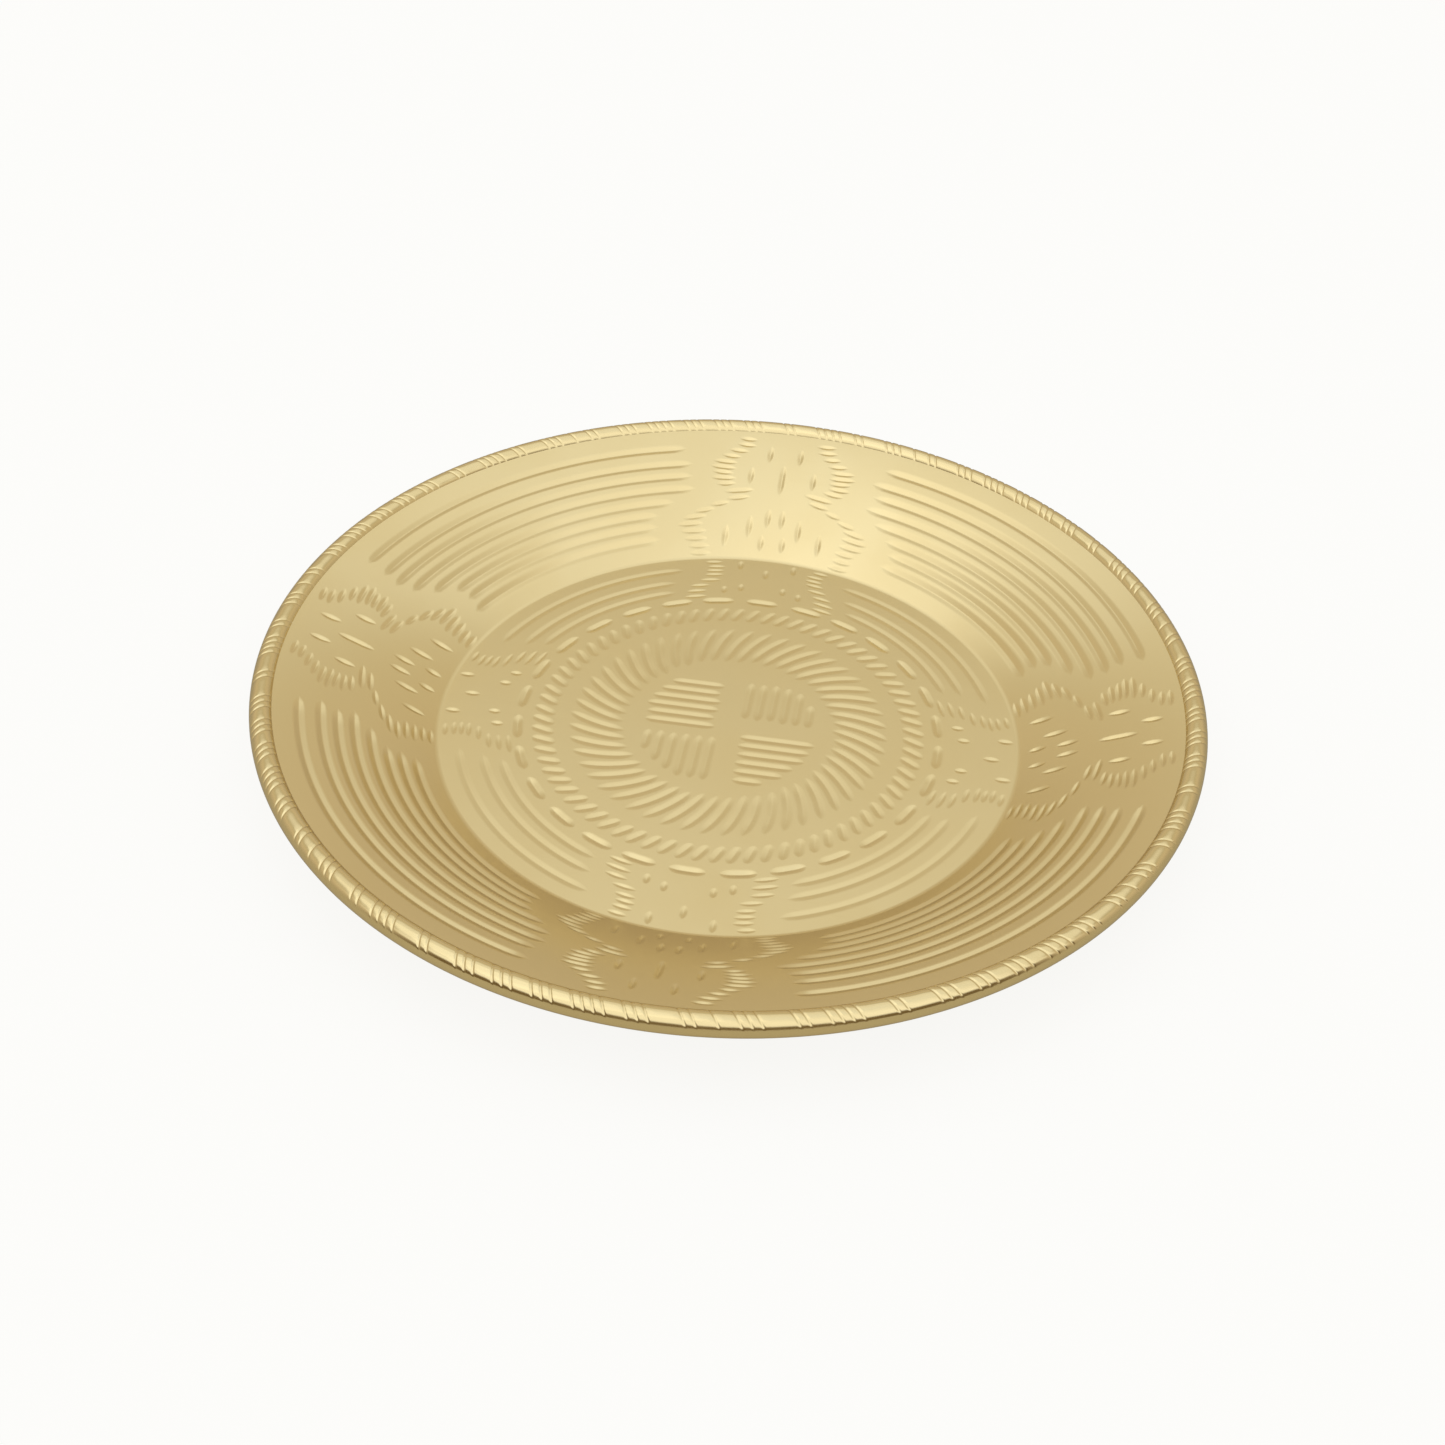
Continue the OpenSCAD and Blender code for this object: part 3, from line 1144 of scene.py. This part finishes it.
def make_table(stage):
    """A pale table lit from within, so shadows on it stay faint. Glossy rays see it in a duller colour
    instead: a painted reflection of a darker table.
    """
    mesh = bpy.data.meshes.new("table")
    corners = [(x * TABLE_REACH, y * TABLE_REACH, 0) for x, y in ((-1, -1), (1, -1), (1, 1), (-1, 1))]
    mesh.from_pydata(corners, [], [(0, 1, 2, 3)])
    table = bpy.data.objects.new("table", mesh)
    bpy.context.scene.collection.objects.link(table)
    table.location.z = CAD_BOX[0].z - TABLE_DROP
    material, tree, shader = new_material("lit_table", 0.0, TABLE_ROUGHNESS)
    # Painted reflection: glossy rays see the darker colour instead of the glow, so the metal mirrors a
    # duller table than the camera sees
    mirrored = node(tree, "ShaderNodeLightPath").outputs["Is Glossy Ray"]
    glow = colour_mix(tree, mirrored, (*stage.table_glow, 1), (*stage.painted_table_reflection, 1))
    feed(tree, glow, shader.inputs["Emission Color"])
    shader.inputs["Base Color"].default_value = (*stage.table, 1)
    shader.inputs["Emission Strength"].default_value = 1.0
    shader.inputs["Specular IOR Level"].default_value = 0.0
    mesh.materials.append(material)


def make_softbox():
    """One large soft light overhead, a little to the left, which brightens the far flange."""
    data = bpy.data.lights.new("softbox", "AREA")
    data.shape = "RECTANGLE"
    data.size, data.size_y = SOFTBOX_SIZE
    data.energy = SOFTBOX_POWER
    box = bpy.data.objects.new("softbox", data)
    bpy.context.scene.collection.objects.link(box)
    box.location = SOFTBOX_PLACE
    aim = Vector((0, 0, PLATE_H)) - box.location
    box.rotation_euler = aim.to_track_quat("-Z", "Y").to_euler()


def make_camera(stage):
    """The camera, aimed at the middle of the floor and turned a little about its axis."""
    data = bpy.data.cameras.new("camera")
    data.sensor_width = SENSOR
    data.lens = stage.lens
    data.shift_x, data.shift_y = stage.shift_x, stage.shift_y
    data.clip_start, data.clip_end = CLIP
    camera = bpy.data.objects.new("camera", data)
    bpy.context.scene.collection.objects.link(camera)
    a, e = stage.azimuth, stage.elevation
    back = Vector((math.sin(a) * math.cos(e), -math.cos(a) * math.cos(e), math.sin(e)))
    camera.location = Vector((0, 0, SHEET_T)) + back * stage.distance
    camera.rotation_mode = "QUATERNION"
    level = (-back).to_track_quat("-Z", "Y").to_matrix()
    camera.rotation_quaternion = (level @ Matrix.Rotation(stage.roll, 3, "Z")).to_quaternion()
    bpy.context.scene.camera = camera


# ---------------------------------------------------------------------------
# Operators
# ---------------------------------------------------------------------------


class PATEN_OT_stage(bpy.types.Operator):
    """Sets up the table, the light and the camera"""

    bl_idname = "paten.stage"
    bl_label = "Stage"

    def execute(self, context):
        stage = context.scene.paten_stage
        context.scene.view_settings.view_transform = "Standard"
        make_world(stage)
        make_table(stage)
        make_softbox()
        make_camera(stage)
        return {"FINISHED"}


class PATEN_OT_dish(bpy.types.Operator):
    """Builds the pressed sheet with its chased pattern"""

    bl_idname = "paten.dish"
    bl_label = "Dish"

    def execute(self, context):
        scene = context.scene
        materials = [sheet_gilt(scene.paten_finish), cut_gilt(scene.paten_finish)]
        make_dish(scene.paten_sizes, scene.paten_chasing, materials)
        return {"FINISHED"}


class PATEN_OT_rim_bead(bpy.types.Operator):
    """Builds the notched bead round the edge"""

    bl_idname = "paten.rim_bead"
    bl_label = "Rim bead"

    def execute(self, context):
        make_rim_bead(context.scene.paten_sizes, [bead_gilt(context.scene.paten_finish)])
        return {"FINISHED"}


class PATEN_OT_rim_wire(bpy.types.Operator):
    """Builds the core wire inside the bead"""

    bl_idname = "paten.rim_wire"
    bl_label = "Rim wire"

    def execute(self, context):
        make_rim_wire(context.scene.paten_sizes, [wire_brass(context.scene.paten_finish)])
        return {"FINISHED"}


class PATEN_PT_panel(bpy.types.Panel):
    """Lists the steps that build the paten"""

    bl_label = "Paten"
    bl_space_type = "VIEW_3D"
    bl_region_type = "UI"
    bl_category = "Paten"

    def draw(self, context):
        for operator in OPERATORS:
            self.layout.operator(operator.bl_idname)
        for name in GROUPS:
            settings = getattr(context.scene, name)
            box = self.layout.box()
            for prop in settings.__annotations__:
                box.prop(settings, prop)


OPERATORS = (PATEN_OT_stage, PATEN_OT_dish, PATEN_OT_rim_bead, PATEN_OT_rim_wire)
GROUPS = {
    "paten_sizes": PatenSizes,
    "paten_chasing": PatenChasing,
    "paten_finish": PatenFinish,
    "paten_stage": PatenStage,
}


def register():
    for cls in (*GROUPS.values(), *OPERATORS, PATEN_PT_panel):
        bpy.utils.register_class(cls)
    for name, cls in GROUPS.items():
        setattr(bpy.types.Scene, name, PointerProperty(type=cls))


def unregister():
    for name in GROUPS:
        delattr(bpy.types.Scene, name)
    for cls in (PATEN_PT_panel, *reversed(OPERATORS), *reversed(GROUPS.values())):
        bpy.utils.unregister_class(cls)


def main():
    register()
    bpy.ops.paten.stage()
    bpy.ops.paten.dish()
    bpy.ops.paten.rim_bead()
    bpy.ops.paten.rim_wire()


if __name__ == "__main__":
    main()
